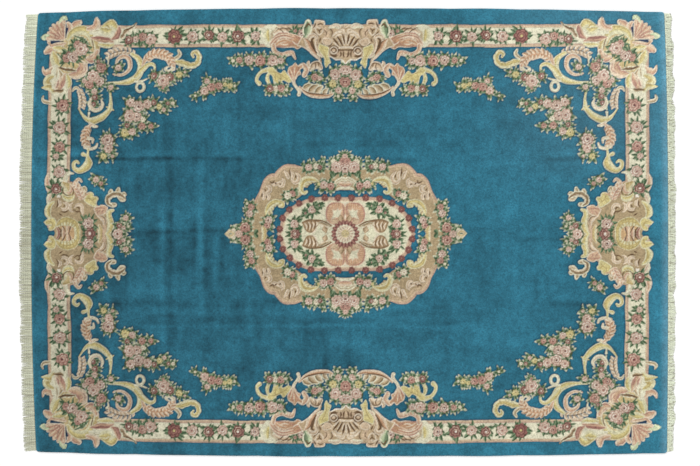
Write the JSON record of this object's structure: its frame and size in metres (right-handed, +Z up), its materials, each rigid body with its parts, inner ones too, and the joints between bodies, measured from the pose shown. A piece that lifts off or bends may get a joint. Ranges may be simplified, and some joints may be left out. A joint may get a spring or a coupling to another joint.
{
  "type": "aubusson rug",
  "caption": "Deep-pile room rug with a flowered border, four corner sprays, side cartouches and an oval medallion, lying flat with a warp fringe at both ends.",
  "frame": {"origin": "on the floor under the middle of the pile, fringes not counted", "axes": "+X along the length towards the end with the short fringe, +Y across the width, +Z up out of the pile"},
  "size_m": [3.139, 2.1482, 0.015],
  "materials": {
    "pile": "carved cut wool pile, blue ground with rose, cream, gold and tan ornament",
    "warp": "undyed twisted cotton warp"
  },
  "bodies": {
    "root": {"rug_pile": "pile", "fringe_west": "warp", "fringe_east": "warp"}
  },
  "joints": []
}
